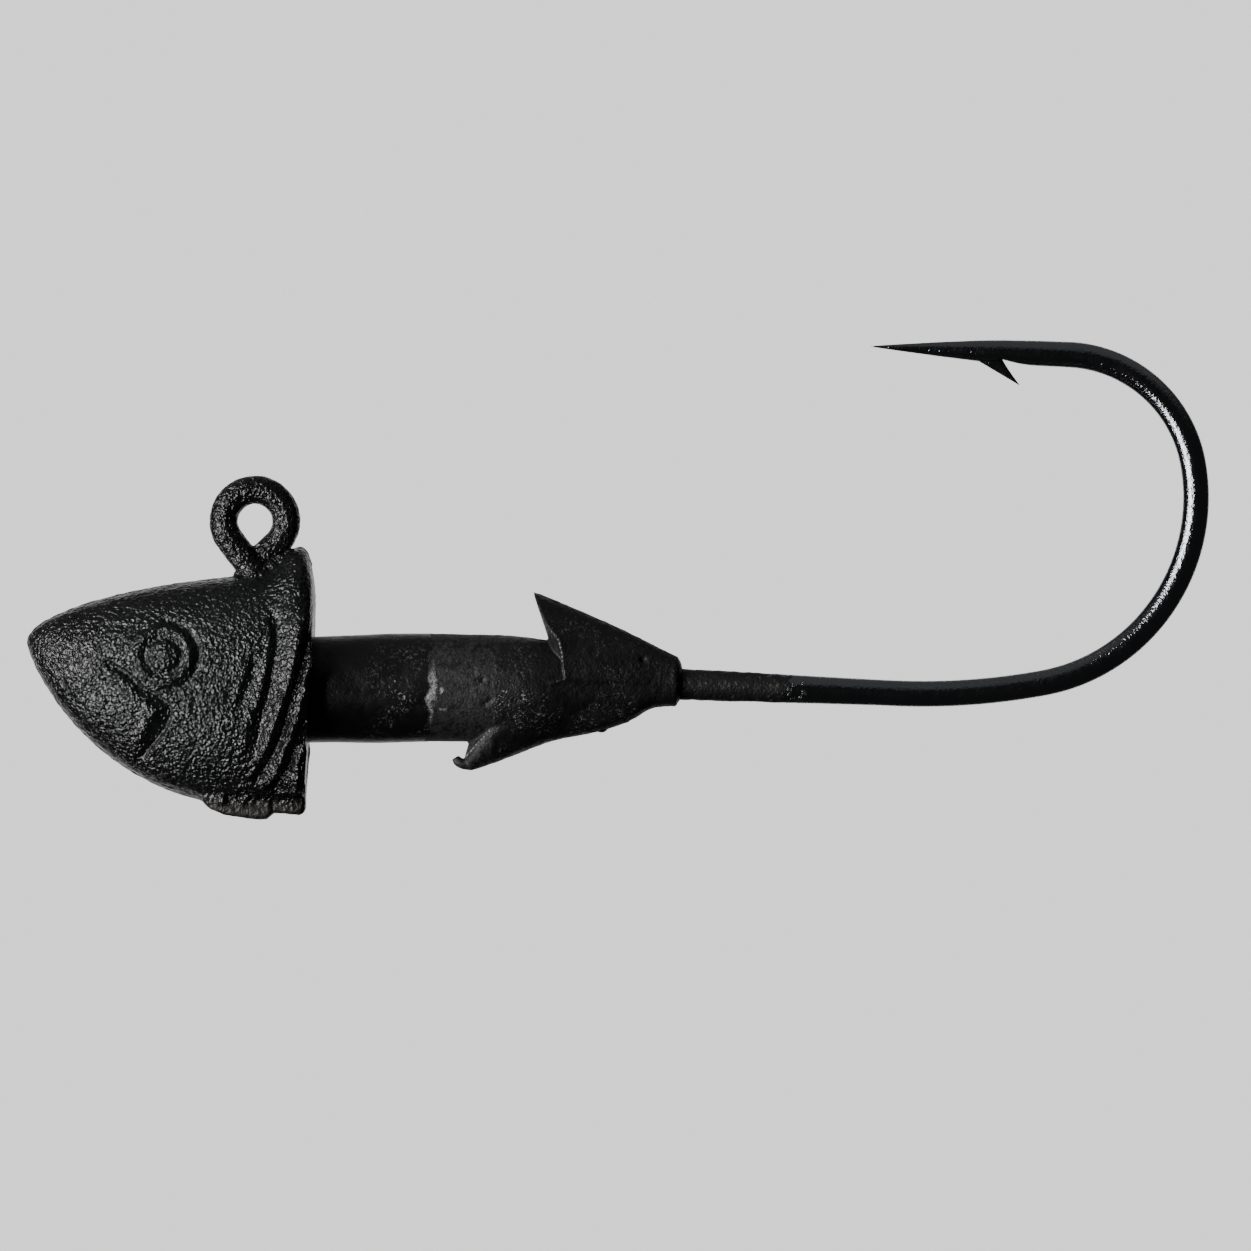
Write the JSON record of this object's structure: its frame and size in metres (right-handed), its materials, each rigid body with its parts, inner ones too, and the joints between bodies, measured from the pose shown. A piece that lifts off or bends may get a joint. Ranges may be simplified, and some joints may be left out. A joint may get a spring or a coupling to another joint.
{
  "type": "jig head",
  "caption": "Fish-shaped jig head on a barbed hook, with a line eye on top, a round bait collar and a two-barbed keeper cone.",
  "frame": {"origin": "centre of the line-tie eye", "axes": "+X along the shank, from the eye towards the hook's bend; +Z the side the hook point is on; Y across the mould's parting plane"},
  "size_m": [0.0587, 0.0078, 0.0255],
  "materials": {
    "powder_coat": "satin",
    "hook_plating": "gloss",
    "collar_paint": "satin",
    "keeper_paint": "matte"
  },
  "bodies": {
    "root": {"line_tie": "powder_coat", "hook": "hook_plating", "head_casting": "powder_coat", "bait_collar": "collar_paint", "keeper_cone": "keeper_paint"}
  },
  "joints": []
}
